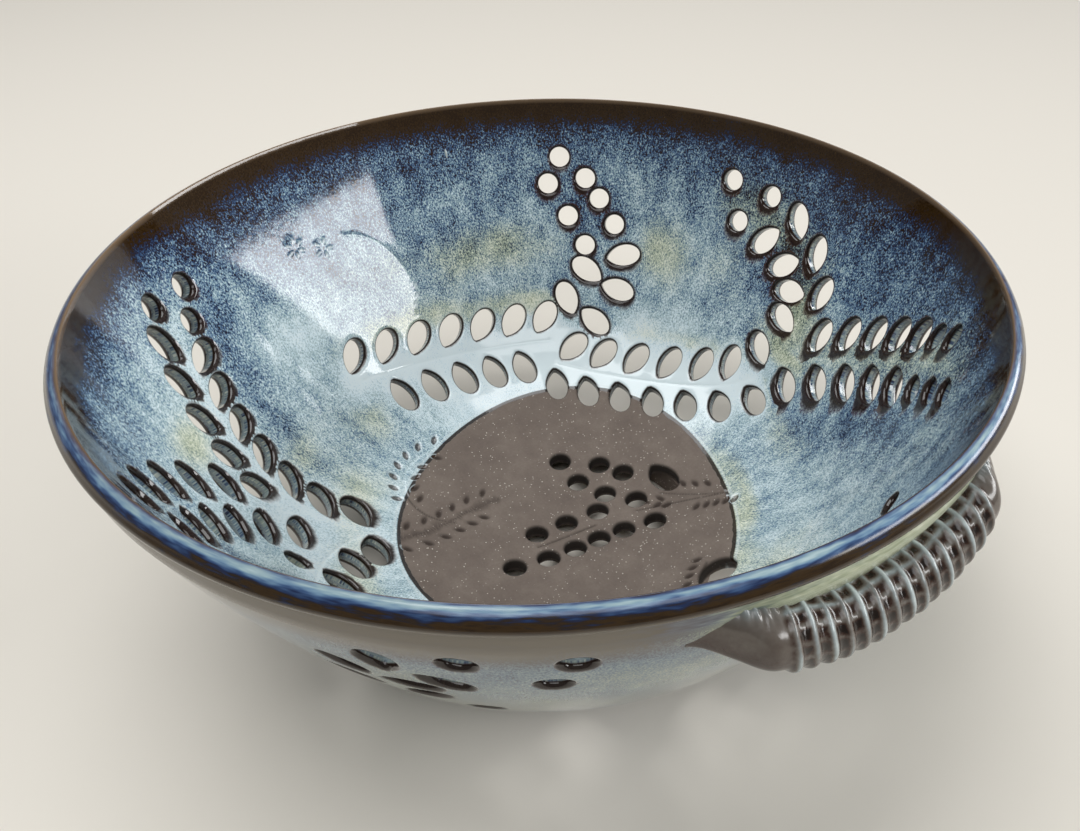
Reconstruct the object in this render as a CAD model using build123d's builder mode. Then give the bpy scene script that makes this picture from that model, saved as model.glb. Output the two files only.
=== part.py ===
"""Pierced stoneware berry colander on a foot ring, with two ribbed lug handles.

Millimetres, +Z up. The origin is on the table at the middle of the foot ring; the handles lie along X.
"""
import os
from collections import namedtuple
from math import atan2, comb, cos, degrees, radians, sin

from build123d import *

# Inside of the bowl: wall, heel and floor are three tangent arcs, followed down from the ridge of the rim.
# Slopes and turns are in degrees; the section's own azimuth is one that no hole or handle crosses.
rim_radius = 120.0
wall_slope = 72.4
wall_bow = 297.0
wall_turn = 15.4
heel_radius = 52.0
heel_turn = 43.2
clay_thickness = 5.5
profile_steps = 14
section_azimuth = 214.0

# Rim: a bevel falls outward from the ridge to a rounded lip that overhangs the wall
lip_overhang = 4.6
lip_drop = 4.8
lip_radius = 1.6
lip_turn = 138.0
lip_neck = 9.5

# Slip that lutes the foot ring and the handles to the outside of the bowl
slip_layer = 0.05

# Foot ring luted under the floor, which it holds clear of the table
foot_radius = 50.0
foot_width = 6.4
foot_edge = 1.2
floor_clearance = 5.0

# Lug handles: a ribbed roll of clay pressed on the wall below the lip, with smoothed tails
roll_radius = 7.2
roll_drop = 22.0
roll_reach = 2.0
rib_rise = 0.9
rib_count = 17
rib_width = 1.5
ribbed_span = 30.0
handle_span = 44.0
tail_radius = 3.4
tail_sink = 3.6

# Piercing
leaf_length = 13.0
leaf_width = 7.8
leaf_swell = 0.65
bud_scale = 0.66
berry_diameter = 7.2
cutter_margin = 4.0

# A frond is a curved stem with a row of holes on each side of it, leaves first, then buds, then berries.
# On the wall the stem's points are (azimuth in degrees, depth along the wall in mm); on the floor (x, y).
# A row runs from one fraction of the stem to another, and its leaves lean from the stem by an angle.
Row = namedtuple("Row", "leaves buds berries first last lean")
Frond = namedtuple("Frond", "stem offset left right")

wall_fronds = (
    # vine low on the back wall, in two runs
    Frond(((202, 82), (176, 91), (151, 90)), 9.2, Row(7, 0, 0, 0.00, 1.00, 55), Row(5, 0, 0, 0.16, 0.85, 75)),
    Frond(((149, 99), (132, 108), (102, 104), (91, 86)), 8.2,
          Row(6, 0, 0, 0.06, 0.89, 62), Row(7, 0, 0, 0.04, 1.00, 65)),
    # fronds that rise from the vine: middle, right, far right
    Frond(((143, 80), (128, 60), (142, 42), (145, 29)), 6.7,
          Row(2, 0, 3, 0.02, 1.02, 66), Row(3, 0, 3, 0.04, 0.92, 84)),
    Frond(((90, 81), (81, 49), (95, 33), (108, 29)), 6.8,
          Row(5, 0, 1, 0.04, 1.01, 70), Row(3, 0, 1, 0.40, 0.91, 36)),
    Frond(((85, 74), (57, 43), (45, 25)), 8.1, Row(5, 2, 0, 0.14, 0.88, 50), Row(5, 3, 0, 0.01, 1.01, 68)),
    # left side: a tall frond and the two branches in front of it
    Frond(((244, 106), (245, 71), (234, 37), (225, 14)), 6.9,
          Row(5, 0, 1, 0.32, 0.87, 44), Row(7, 0, 2, 0.00, 0.95, 50)),
    Frond(((247, 86), (260, 44), (276, 24)), 6.8, Row(6, 0, 0, 0.02, 0.90, 66), Row(5, 0, 0, 0.29, 0.98, 54)),
    Frond(((247, 108), (257, 93), (276, 82)), 7.0, Row(4, 0, 0, 0.02, 0.95, 60), Row(0, 2, 0, 0.66, 0.98, 60)),
    # front wall: a frond that curls over below the rim, and a branch that points to the right handle
    Frond(((331, 98), (298, 72), (297, 19), (328, 25)), 7.0,
          Row(5, 0, 1, 0.08, 0.98, 66), Row(7, 0, 2, 0.02, 1.00, 56)),
    Frond(((-20, 98), (12, 88), (24, 36)), 7.4, Row(4, 1, 0, 0.20, 0.90, 60), Row(3, 1, 0, 0.15, 0.75, 60)),
)
tip_berries = ((146, 21), (112, 22))

floor_fronds = (
    Frond(((1, -25), (7, -4), (3, 6), (13, 28)), 6.0, Row(0, 0, 4, 0.24, 0.92, 60), Row(0, 0, 6, 0.03, 0.97, 60)),
    Frond(((-2, 28), (-10, 17), (-25, 20)), 5.4, Row(0, 0, 3, 0.28, 1.00, 60), Row(0, 0, 2, 0.12, 0.66, 60)),
)
# Two large leaves, inside and outside the foot ring: azimuth, radius and heading from the way out
floor_leaves = ((85, 38.5, -90), (23.5, 55.2, 70))
floor_leaf_scale = 1.12

heel_slope = wall_slope - wall_turn
floor_slope = heel_slope - heel_turn
heel_rim = rim_radius - wall_bow * (sin(radians(wall_slope)) - sin(radians(heel_slope)))
floor_rim = heel_rim - heel_radius * (sin(radians(heel_slope)) - sin(radians(floor_slope)))
floor_bow = floor_rim / sin(radians(floor_slope))
wall_length = wall_bow * radians(wall_turn)
heel_length = heel_radius * radians(heel_turn)
wall_drop = wall_bow * (cos(radians(heel_slope)) - cos(radians(wall_slope)))
heel_drop = heel_radius * (cos(radians(floor_slope)) - cos(radians(heel_slope)))
floor_drop = floor_bow * (1 - cos(radians(floor_slope)))
full_depth = wall_length + heel_length + floor_bow * radians(floor_slope)
floor_height = floor_clearance + clay_thickness
rim_height = floor_height + floor_drop + heel_drop + wall_drop
cutter_length = clay_thickness + floor_drop + 2 * cutter_margin


def inside(depth):
    """Radius, height and slope of the inside at a depth measured along it from the ridge."""
    if depth < wall_length:
        bow, start_radius, start_height, start_slope = wall_bow, rim_radius, rim_height, wall_slope
    elif depth < wall_length + heel_length:
        depth -= wall_length
        bow, start_radius, start_height, start_slope = heel_radius, heel_rim, rim_height - wall_drop, heel_slope
    else:
        depth -= wall_length + heel_length
        bow, start_radius, start_slope = floor_bow, floor_rim, floor_slope
        start_height = floor_height + floor_drop
    slope = start_slope - degrees(depth / bow)
    radius = start_radius - bow * (sin(radians(start_slope)) - sin(radians(slope)))
    height = start_height - bow * (cos(radians(slope)) - cos(radians(start_slope)))
    return radius, height, slope


def wall_plane(azimuth, depth, heading):
    """Plane just inside the wall, facing out through it, with its x axis at a heading from the azimuth's way."""
    radius, height, slope = inside(depth)
    across = Vector(-sin(radians(azimuth)), cos(radians(azimuth)), 0)
    outward = Vector(cos(radians(azimuth)), sin(radians(azimuth)), 0)
    down = outward * -cos(radians(slope)) + Vector(0, 0, -sin(radians(slope)))
    normal = outward * sin(radians(slope)) + Vector(0, 0, -cos(radians(slope)))
    spot = outward * radius + Vector(0, 0, height) - normal * cutter_margin
    return Plane(spot, across * cos(radians(heading)) + down * sin(radians(heading)), normal)


def floor_plane(x, y, heading):
    """Level plane above the floor, facing down, with its x axis at a heading."""
    spot = Vector(x, y, floor_height + floor_drop + cutter_margin)
    return Plane(spot, Vector(cos(radians(heading)), sin(radians(heading)), 0), (0, 0, -1))


def on_stem(points, t):
    """Point of the Bezier curve with these control points at a fraction of it."""
    order = len(points) - 1
    weights = [comb(order, i) * t**i * (1 - t)**(order - i) for i in range(order + 1)]
    return [sum(weight * point[axis] for weight, point in zip(weights, points)) for axis in (0, 1)]


def frond_holes(frond, on_wall):
    """Kind, place and heading of each hole of a frond."""
    holes = []
    for side, row in ((1, frond.left), (-1, frond.right)):
        kinds = ["leaf"] * row.leaves + ["bud"] * row.buds + ["berry"] * row.berries
        for number, kind in enumerate(kinds):
            t = row.first + (row.last - row.first) * number / (len(kinds) - 1)
            x, y = on_stem(frond.stem, t)
            step = 1e-3
            near, far = on_stem(frond.stem, t - step), on_stem(frond.stem, t + step)
            unit = radians(inside(y)[0]) if on_wall else 1
            way = degrees(atan2(far[1] - near[1], (far[0] - near[0]) * unit))
            aside = radians(way + side * 90)
            place = (x + frond.offset * cos(aside) / unit, y + frond.offset * sin(aside))
            holes.append((kind, *place, way + side * row.lean))
    return holes


def skin_points(start, end, outward):
    """Points of the half section from one depth to another, moved out through the wall."""
    points = []
    for number in range(profile_steps + 1):
        radius, height, slope = inside(start + (end - start) * number / profile_steps)
        points.append((radius + outward * sin(radians(slope)), height - outward * cos(radians(slope))))
    return points


def radial_plane(azimuth):
    """Upright plane through the axis of the bowl, its x axis pointing out at an azimuth."""
    outward = Vector(cos(radians(azimuth)), sin(radians(azimuth)), 0)
    return Plane((0, 0, 0), outward, outward.cross(Vector(0, 0, 1)))


holes = {"leaf": [], "bud": [], "berry": []}
for frond in wall_fronds:
    for kind, azimuth, depth, heading in frond_holes(frond, True):
        holes[kind].append(wall_plane(azimuth, depth, heading))
for azimuth, depth in tip_berries:
    holes["berry"].append(wall_plane(azimuth, depth, 0))
for frond in floor_fronds:
    for kind, x, y, heading in frond_holes(frond, False):
        holes[kind].append(floor_plane(x, y, heading))
holes["floor_leaf"] = [
    floor_plane(radius * cos(radians(azimuth)), radius * sin(radians(azimuth)), azimuth + heading)
    for azimuth, radius, heading in floor_leaves
]

with BuildPart() as piercing:
    for kind, scale in (("leaf", 1), ("bud", bud_scale), ("floor_leaf", floor_leaf_scale)):
        with BuildSketch(*holes[kind]):
            with BuildLine():
                swell = leaf_swell * scale
                half_width = leaf_width * scale / 2
                point = (-leaf_length * scale / 2, 0)
                EllipticalCenterArc((swell, 0), leaf_length * scale / 2 - swell, half_width, -90, arc_size=180)
                TangentArc((swell, half_width), point, tangent=(-1, 0))
                TangentArc((swell, -half_width), point, tangent=(-1, 0))
            make_face()
        extrude(amount=cutter_length)
    with BuildSketch(*holes["berry"]):
        Circle(berry_diameter / 2)
    extrude(amount=cutter_length)

with BuildPart() as blank:
    with BuildSketch(radial_plane(section_azimuth)):
        with BuildLine():
            inner = Spline(skin_points(0, full_depth, 0))
            outer = Spline(skin_points(full_depth, lip_neck, clay_thickness))
            lip_middle = (rim_radius + lip_overhang - lip_radius, rim_height - lip_drop)
            lip = CenterArc(lip_middle, lip_radius, -90, lip_turn)
            Line(inner @ 1, outer @ 0)
            Line(outer @ 1, lip @ 0)
            Line(lip @ 1, inner @ 0)
        make_face()
    revolve(axis=Axis.Z)

with BuildPart() as luted_ground:
    with BuildSketch(radial_plane(section_azimuth)):
        with BuildLine():
            ground = Spline(skin_points(full_depth, lip_neck, clay_thickness + slip_layer))
            Polyline(ground @ 1, (0, (ground @ 1).Y), ground @ 0)
        make_face()
    revolve(axis=Axis.Z)

with BuildPart() as bowl:
    add(blank.part)
    add(piercing.part, mode=Mode.SUBTRACT)

with BuildPart() as foot_ring:
    with BuildSketch(Plane.XZ):
        with Locations((foot_radius - foot_width / 2, 0)):
            Rectangle(foot_width, floor_height + clay_thickness / 2, align=(Align.CENTER, Align.MIN))
    revolve(axis=Axis.Z)
    fillet(foot_ring.edges().group_by(Axis.Z)[0], foot_edge)
    add(luted_ground.part, mode=Mode.SUBTRACT)

roll_place = (rim_radius + roll_reach, rim_height - roll_drop)
tail_place = (rim_radius + roll_reach - tail_sink, rim_height - roll_drop)
rib_arc = degrees(rib_width / roll_place[0])
handles = []
for name, middle in (("handle_right", 0), ("handle_left", 180)):
    with BuildPart() as handle:
        with BuildSketch(radial_plane(middle - ribbed_span / 2)):
            with Locations(roll_place):
                Circle(roll_radius)
        revolve(axis=Axis.Z, revolution_arc=ribbed_span)
        for end in (-1, 1):
            with BuildSketch(radial_plane(middle + end * ribbed_span / 2)):
                with Locations(roll_place):
                    Circle(roll_radius)
            with BuildSketch(radial_plane(middle + end * handle_span / 2)):
                with Locations(tail_place):
                    Circle(tail_radius)
            loft()
        pitch = (ribbed_span - rib_arc) / (rib_count - 1)
        rib_starts = [middle - ribbed_span / 2 + pitch * number for number in range(rib_count)]
        with BuildSketch(*[radial_plane(start) for start in rib_starts]):
            with Locations(roll_place):
                Circle(roll_radius + rib_rise)
        revolve(axis=Axis.Z, revolution_arc=rib_arc)
        add(luted_ground.part, mode=Mode.SUBTRACT)
    handle.part.label = name
    handles.append(handle.part)

bowl.part.label = "bowl"
foot_ring.part.label = "foot_ring"

os.makedirs("parts", exist_ok=True)
for piece in (bowl.part, foot_ring.part, *handles):
    export_step(piece, f"parts/{piece.label}.step")
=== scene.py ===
# %% [markdown]
# # A pierced berry colander in glazed stoneware
# The pot is a thrown bowl whose wall is cut through in curling fronds of leaves and berries, with a ribbed
# roll of clay on each side to lift it by. Its looks are the glaze: a glossy coat that runs thin and brown
# over every edge and pools thick, milky and blue lower down. The frame below is the finished construction
# at its real size, so each surface made here is laid on the construction's own curves.

# %% Load the frame
import math
from collections import namedtuple

import bmesh
import bpy
import numpy as np
from mathutils import Matrix, Vector, geometry


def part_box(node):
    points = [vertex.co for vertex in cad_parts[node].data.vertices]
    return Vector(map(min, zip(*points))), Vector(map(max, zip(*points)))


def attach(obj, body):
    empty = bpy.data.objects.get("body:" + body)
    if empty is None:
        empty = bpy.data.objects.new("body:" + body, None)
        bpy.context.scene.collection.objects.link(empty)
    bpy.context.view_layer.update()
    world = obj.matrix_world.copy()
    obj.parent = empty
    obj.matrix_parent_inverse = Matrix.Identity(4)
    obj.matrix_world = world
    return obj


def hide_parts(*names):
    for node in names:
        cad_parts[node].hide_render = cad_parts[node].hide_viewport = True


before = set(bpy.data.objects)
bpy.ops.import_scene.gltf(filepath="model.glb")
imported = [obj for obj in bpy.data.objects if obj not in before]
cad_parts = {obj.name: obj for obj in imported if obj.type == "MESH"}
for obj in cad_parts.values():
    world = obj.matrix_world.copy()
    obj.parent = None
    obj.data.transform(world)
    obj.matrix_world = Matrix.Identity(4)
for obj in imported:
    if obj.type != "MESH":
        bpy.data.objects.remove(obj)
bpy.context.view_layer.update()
MM = 0.001
scene = bpy.context.scene
print("nodes:", sorted(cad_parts))

# %% [markdown]
# ## The curve of the inside
# Seen in section, the inside of the bowl is three arcs that run into each other: a wall that bows a little,
# a tight heel and a shallow floor. A point of the bowl is then named by its azimuth round the axis and its
# depth down that curve, which is also how glaze runs. Every other surface is this one moved out through the
# wall.

# %% Section of the bowl, in mm and degrees
rim_radius, rim_height = 120.0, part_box("bowl")[1].z / MM
wall_slope, wall_bow, wall_turn = 72.4, 297.0, 15.4
heel_radius, heel_turn = 52.0, 43.2
clay_thickness = 5.5

first_slope = np.radians([wall_slope, wall_slope - wall_turn, wall_slope - wall_turn - heel_turn])
arc_length = np.array([wall_bow * math.radians(wall_turn), heel_radius * math.radians(heel_turn)])
heel_rim = rim_radius - wall_bow * (math.sin(first_slope[0]) - math.sin(first_slope[1]))
floor_rim = heel_rim - heel_radius * (math.sin(first_slope[1]) - math.sin(first_slope[2]))
bows = np.array([wall_bow, heel_radius, floor_rim / math.sin(first_slope[2])])
first_depth = np.array([0, arc_length[0], arc_length.sum()])
first_radius = np.array([rim_radius, heel_rim, floor_rim])
heel_top = rim_height - wall_bow * (math.cos(first_slope[1]) - math.cos(first_slope[0]))
floor_top = heel_top - heel_radius * (math.cos(first_slope[2]) - math.cos(first_slope[1]))
first_height = np.array([rim_height, heel_top, floor_top])
full_depth = first_depth[2] + bows[2] * first_slope[2]
print(f"rim {rim_radius:.0f} mm, depth along the wall {full_depth:.0f} mm, height {rim_height:.1f} mm")


# %% Points on the bowl
def inside_curve(depth):
    """Radius, height and slope at depths down the inside, in mm.

    On each arc the slope falls by depth over the arc's radius; the sines and cosines of the slope, times that
    radius, give how far the curve has come in and down.
    """
    depth = np.asarray(depth, float)
    arc = np.clip(np.searchsorted(first_depth, depth, side="right") - 1, 0, 2)
    slope = first_slope[arc] - (depth - first_depth[arc]) / bows[arc]
    radius = first_radius[arc] - bows[arc] * (np.sin(first_slope[arc]) - np.sin(slope))
    height = first_height[arc] - bows[arc] * (np.cos(slope) - np.cos(first_slope[arc]))
    return radius, height, slope


def bowl_surface(azimuth, depth, outward):
    """Points in metres: the inside curve turned about the axis, then moved out along its own normal."""
    radius, height, slope = inside_curve(depth)
    radius = radius + outward * np.sin(slope)
    height = height - outward * np.cos(slope)
    return np.stack([radius * np.cos(azimuth), radius * np.sin(azimuth), height], -1) * MM


depth_table = np.linspace(0, full_depth, 2000)
radius_table = inside_curve(depth_table)[0]


def depth_at(radius):
    """Depth down the inside at which the curve has a radius, read from a table."""
    return np.interp(radius, radius_table[::-1], depth_table[::-1])


print(f"the floor begins {floor_rim:.1f} mm from the axis, {rim_height - floor_top:.1f} mm under the rim")

# %% [markdown]
# ## Where the holes are
# The fronds are the same as in the construction: a stem is a Bezier curve, and a row of holes follows each
# side of it, leaves first, then small buds, then berries. On the wall a stem's points are azimuth in
# degrees and depth in mm; on the floor they are plain x and y. Cutting them with a boolean would leave a
# ragged mesh with no rounded edges, so only their places are worked out here, and the net further down is
# built round them.

# %% Fronds
# A row: how many of each kind, the shares of the stem where it starts and ends, and how its leaves lean
Row = namedtuple("Row", "leaves buds berries first last lean")
Frond = namedtuple("Frond", "stem offset left right")
wall_fronds = (
    Frond(((202, 82), (176, 91), (151, 90)), 9.2, Row(7, 0, 0, 0.00, 1.00, 55), Row(5, 0, 0, 0.16, 0.85, 75)),
    Frond(((149, 99), (132, 108), (102, 104), (91, 86)), 8.2,
          Row(6, 0, 0, 0.06, 0.89, 62), Row(7, 0, 0, 0.04, 1.00, 65)),
    Frond(((143, 80), (128, 60), (142, 42), (145, 29)), 6.7,
          Row(2, 0, 3, 0.02, 1.02, 66), Row(3, 0, 3, 0.04, 0.92, 84)),
    Frond(((90, 81), (81, 49), (95, 33), (108, 29)), 6.8,
          Row(5, 0, 1, 0.04, 1.01, 70), Row(3, 0, 1, 0.40, 0.91, 36)),
    Frond(((85, 74), (57, 43), (45, 25)), 8.1, Row(5, 2, 0, 0.14, 0.88, 50), Row(5, 3, 0, 0.01, 1.01, 68)),
    Frond(((244, 106), (245, 71), (234, 37), (225, 14)), 6.9,
          Row(5, 0, 1, 0.32, 0.87, 44), Row(7, 0, 2, 0.00, 0.95, 50)),
    Frond(((247, 86), (260, 44), (276, 24)), 6.8, Row(6, 0, 0, 0.02, 0.90, 66), Row(5, 0, 0, 0.29, 0.98, 54)),
    Frond(((247, 108), (257, 93), (276, 82)), 7.0,
          Row(4, 0, 0, 0.02, 0.95, 60), Row(0, 2, 0, 0.66, 0.98, 60)),
    Frond(((331, 98), (298, 72), (297, 19), (328, 25)), 7.0,
          Row(5, 0, 1, 0.08, 0.98, 66), Row(7, 0, 2, 0.02, 1.00, 56)),
    Frond(((-20, 98), (12, 88), (24, 36)), 7.4, Row(4, 1, 0, 0.20, 0.90, 60), Row(3, 1, 0, 0.15, 0.75, 60)),
)
tip_berries = ((146, 21), (112, 22))
floor_fronds = (
    Frond(((1, -25), (7, -4), (3, 6), (13, 28)), 6.0,
          Row(0, 0, 4, 0.24, 0.92, 60), Row(0, 0, 6, 0.03, 0.97, 60)),
    Frond(((-2, 28), (-10, 17), (-25, 20)), 5.4, Row(0, 0, 3, 0.28, 1.00, 60), Row(0, 0, 2, 0.12, 0.66, 60)),
)
floor_leaves = ((85, 38.5, -90), (23.5, 55.2, 70))
LEAF, BUD, BERRY, FLOOR_LEAF = range(4)
print(len(wall_fronds), "fronds on the wall,", len(floor_fronds), "on the floor")


# %% Holes beside the stems
def on_stem(stem, t):
    """Points of a Bezier stem at fractions t, and the way it runs there, as two (n, 2) arrays."""
    points, t = np.array(stem, float), np.atleast_1d(t)[:, None]
    order = len(points) - 1
    place = sum(math.comb(order, i) * t**i * (1 - t)**(order - i) * points[i] for i in range(order + 1))
    steps = order * np.diff(points, axis=0)
    way = sum(math.comb(order - 1, i) * t**i * (1 - t)**(order - 1 - i) * steps[i] for i in range(order))
    return place, way


def frond_holes(frond, on_wall):
    """Kind, two coordinates and heading of each hole of a frond, as one (n, 4) array.

    A hole stands off its stem at a right angle to the stem's way there, and its leaf leans from that way.
    """
    rows = []
    for side, row in ((1, frond.left), (-1, frond.right)):
        kinds = np.repeat([LEAF, BUD, BERRY], [row.leaves, row.buds, row.berries])
        place, way = on_stem(frond.stem, np.linspace(row.first, row.last, len(kinds)))
        unit = np.radians(inside_curve(place[:, 1])[0]) if on_wall else np.ones(len(kinds))
        heading = np.arctan2(way[:, 1], way[:, 0] * unit)
        aside = heading + side * np.pi / 2
        first = place[:, 0] + frond.offset * np.cos(aside) / unit
        second = place[:, 1] + frond.offset * np.sin(aside)
        rows.append(np.stack([kinds, first, second, heading + side * math.radians(row.lean)], -1))
    return np.concatenate(rows)


wall_holes = np.concatenate([frond_holes(frond, True) for frond in wall_fronds]
                            + [[(BERRY, azimuth, depth, 0) for azimuth, depth in tip_berries]])
floor_holes = np.concatenate([frond_holes(frond, False) for frond in floor_fronds]
                             + [[(FLOOR_LEAF, radius * math.cos(math.radians(azimuth)),
                                  radius * math.sin(math.radians(azimuth)), math.radians(azimuth + heading))
                                 for azimuth, radius, heading in floor_leaves]])
print(len(wall_holes), "holes in the wall,", len(floor_holes), "in the floor")

# %% [markdown]
# ## The outline of a hole
# A leaf is a half ellipse at its free end and two arcs that meet at the stem. Each outline is walked at
# even steps, and then again a little further out several times, because the clay and the glaze round over
# the edge of a cut and those rings of points carry the rounding.

# %% Outlines
leaf_length, leaf_width, leaf_swell = 13.0, 7.8, 0.65
bud_scale, floor_leaf_scale = 0.66, 1.12
berry_diameter = 7.2
outline_points = 32
cap_points, flank_points, circle_points = 200, 120, 400


def full_turn(count):
    """Angles of so many even steps round a circle."""
    return np.linspace(0, 2 * np.pi, count, endpoint=False)


def leaf_shape(scale):
    """Dense outline of a leaf: a half ellipse, then two arcs tangent to its ends that meet in a point."""
    half, width, swell = leaf_length * scale / 2, leaf_width * scale / 2, leaf_swell * scale
    turn = np.linspace(-np.pi / 2, np.pi / 2, cap_points)
    cap = np.stack([swell + (half - swell) * np.cos(turn), width * np.sin(turn)], -1)
    reach = swell + half
    bow = (reach**2 + width**2) / (2 * width)
    sweep = np.linspace(0, math.asin(reach / bow), flank_points)[1:]
    flank = np.stack([swell - bow * np.sin(sweep), width - bow + bow * np.cos(sweep)], -1)
    return np.concatenate([cap, flank, flank[-2::-1] * (1, -1)])


def berry_shape():
    """Dense outline of a round hole."""
    turn = full_turn(circle_points)
    return np.stack([np.cos(turn), np.sin(turn)], -1) * berry_diameter / 2


def run_along(line):
    """Length along a line of points, from its start to each of them."""
    return np.concatenate([[0], np.cumsum(np.linalg.norm(np.diff(line, axis=0), axis=1))])


def points_at(line, run, at):
    """Points of a line where the length along it has given values."""
    return np.stack([np.interp(at, run, line[:, axis]) for axis in (0, 1)], -1)


def even_outline(shape):
    """Outline resampled at even steps of its length, with the outward normal at each point."""
    closed = np.concatenate([shape, shape[:1]])
    run = run_along(closed)
    points = points_at(closed, run, np.linspace(0, run[-1], outline_points, endpoint=False))
    ahead = np.roll(points, -1, 0) - np.roll(points, 1, 0)
    normal = np.stack([ahead[:, 1], -ahead[:, 0]], -1)
    return points, normal / np.linalg.norm(normal, axis=1)[:, None]


outlines = [even_outline(shape) for shape in
            (leaf_shape(1), leaf_shape(bud_scale), berry_shape(), leaf_shape(floor_leaf_scale))]
outline_place, outline_normal = (np.stack(part) for part in zip(*outlines))
print(len(outlines), "outlines of", outline_points, "points")

# %% Rings round the holes
ring_steps = np.array([0, 0.3, 0.7, 1.3, 2.3])
outward_step, least_reach = 0.2, 0.3


def turned(x, y, angle):
    """Flat coordinates turned about their origin."""
    c, s = np.cos(angle), np.sin(angle)
    return x * c - y * s, x * s + y * c


def hole_ring(distance):
    """Azimuth and depth of every hole's outline, grown by a distance: two (holes, points) arrays.

    On the wall the outline is turned to its heading and laid on the azimuth and depth; on the floor it is
    laid on the plane, and its radius there gives the depth.
    """
    def headed(holes):
        kind = holes[:, 0].astype(int)
        flat = outline_place[kind] + distance * outline_normal[kind]
        return turned(flat[..., 0], flat[..., 1], holes[:, 3, None])

    along, down = headed(wall_holes)
    wall_depth = wall_holes[:, 2, None] + down
    wall_azimuth = np.radians(wall_holes[:, 1, None]) + along / inside_curve(wall_depth)[0]
    x, y = headed(floor_holes)
    x, y = x + floor_holes[:, 1, None], y + floor_holes[:, 2, None]
    return (np.concatenate([wall_azimuth, np.arctan2(y, x)]),
            np.concatenate([wall_depth, depth_at(np.hypot(x, y))]))


edge_azimuth, edge_depth = hole_ring(0)
edge_points = bowl_surface(edge_azimuth, edge_depth, 0).reshape(-1, 3) / MM
edge_out = bowl_surface(*hole_ring(outward_step), 0).reshape(-1, 3) / MM - edge_points


def blocks(points, size):
    """Points in runs of about a size, which keeps a table of distances small."""
    return np.array_split(points, max(1, len(points) // size))


def hole_distance(azimuth, depth):
    """Distance in mm from points of the inside to the nearest hole's edge, less than 0 inside a hole; how far
    each point lies down the wall from that edge, as a share of the distance; and the number of that hole."""
    points = bowl_surface(azimuth, depth, 0) / MM
    nearest = np.concatenate([np.argmin((edge_points**2).sum(1) - 2 * block @ edge_points.T, 1)
                              for block in blocks(points, 3000)])
    away = points - edge_points[nearest]
    distance = np.linalg.norm(away, axis=1)
    sign = np.where((away * edge_out[nearest]).sum(1) < 0, -1, 1)
    below = (depth - edge_depth.ravel()[nearest]) / np.maximum(distance, least_reach)
    return distance * sign, np.clip(below, -1, 1), nearest // outline_points


print(edge_azimuth.shape[0], "holes,", edge_points.shape[0], "points on their edges")

# %% [markdown]
# ## Stems and small sprigs pressed in the clay
# Before it dried, the wall was drawn on and stamped: a fine groove runs along each stem, and small sprigs
# of leaf-shaped dents spill over the edge of the floor. They are too fine for the net that follows, so each
# one brings its own points: rows beside a groove and little ovals round a dent. The dents are real hollows,
# which catch light as the real ones do; on the floor they and the grooves are also coloured darker inside.

# %% Grooves
groove_step, groove_rows = 0.9, (-1.0, -0.45, 0, 0.45, 1.0)
degree_mm = math.radians(95)
stem_points = 400
floor_stem_share = 0.2, 0.62
floor_sprigs = (
    Frond(((-21, -50), (-19, -34), (-24, -26), (-23, -13)), 4.9,
          Row(6, 0, 0, 0.10, 0.92, 50), Row(6, 0, 0, 0.02, 0.76, 50)),
    Frond(((-20.5, -31), (-28, -44), (-52, -42), (-53, -20)), 3.5,
          Row(7, 0, 0, 0.46, 1.02, 55), Row(5, 0, 0, 0.40, 0.97, 50)),
    Frond(((26, 49), (18, 38), (10, 22)), 3.6, Row(5, 0, 0, -0.06, 0.40, 50), Row(2, 0, 0, 0.75, 0.90, 50)),
    Frond(((26, 49), (18, 40), (9, 33)), 5.2, Row(2, 0, 0, 0.86, 0.99, 50), Row(3, 0, 0, 0.32, 0.70, 50)),
    Frond(((45.3, 22.5), (47, 19), (50, 15.5)), 3.5,
          Row(2, 0, 0, 0.5, 1.0, 50), Row(4, 0, 0, -0.05, 1.15, 40)),
)
incised_arc = ((190.6, 34.7), (184, 36.5), (181, 50), (180.7, 57))


def stem_line(stem, unit, first=0.0, last=1.0):
    """Points along a stem about a step apart, where one of its first coordinate is a unit of mm."""
    fine = on_stem(stem, np.linspace(first, last, stem_points))[0]
    run = run_along(fine * (unit, 1))
    return points_at(fine, run, np.linspace(0, run[-1], max(2, int(run[-1] / groove_step))))


def floor_to_wall(x, y):
    """Azimuth in radians and depth of points given by x and y in mm."""
    return np.arctan2(y, x), depth_at(np.hypot(x, y))


def beside(line, offset):
    """A groove's points moved sideways on the surface by an offset in mm."""
    radius = inside_curve(line[:, 1])[0][:, None]
    flat = np.concatenate([np.unwrap(line[:, :1], axis=0) * radius, line[:, 1:]], 1)
    way = np.gradient(flat, axis=0)
    way /= np.linalg.norm(way, axis=1)[:, None] + 1e-9
    return np.stack([line[:, 0] - offset * way[:, 1] / radius[:, 0], line[:, 1] + offset * way[:, 0]], -1)


wall_lines = [stem_line(stem, degree_mm) for stem in [frond.stem for frond in wall_fronds] + [incised_arc]]
floor_lines = [stem_line(frond.stem, 1) for frond in floor_sprigs]
floor_lines.append(stem_line(floor_fronds[0].stem, 1, *floor_stem_share))
grooves = [np.stack([np.radians(line[:, 0]), line[:, 1]], -1) for line in wall_lines]
grooves += [np.stack(floor_to_wall(*line.T), -1) for line in floor_lines]
groove_points = np.concatenate([beside(line, offset) for line in grooves for offset in groove_rows])
groove_spine = bowl_surface(*np.concatenate([beside(line, 0) for line in grooves]).T, 0) / MM
print(len(grooves), "grooves")

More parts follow.
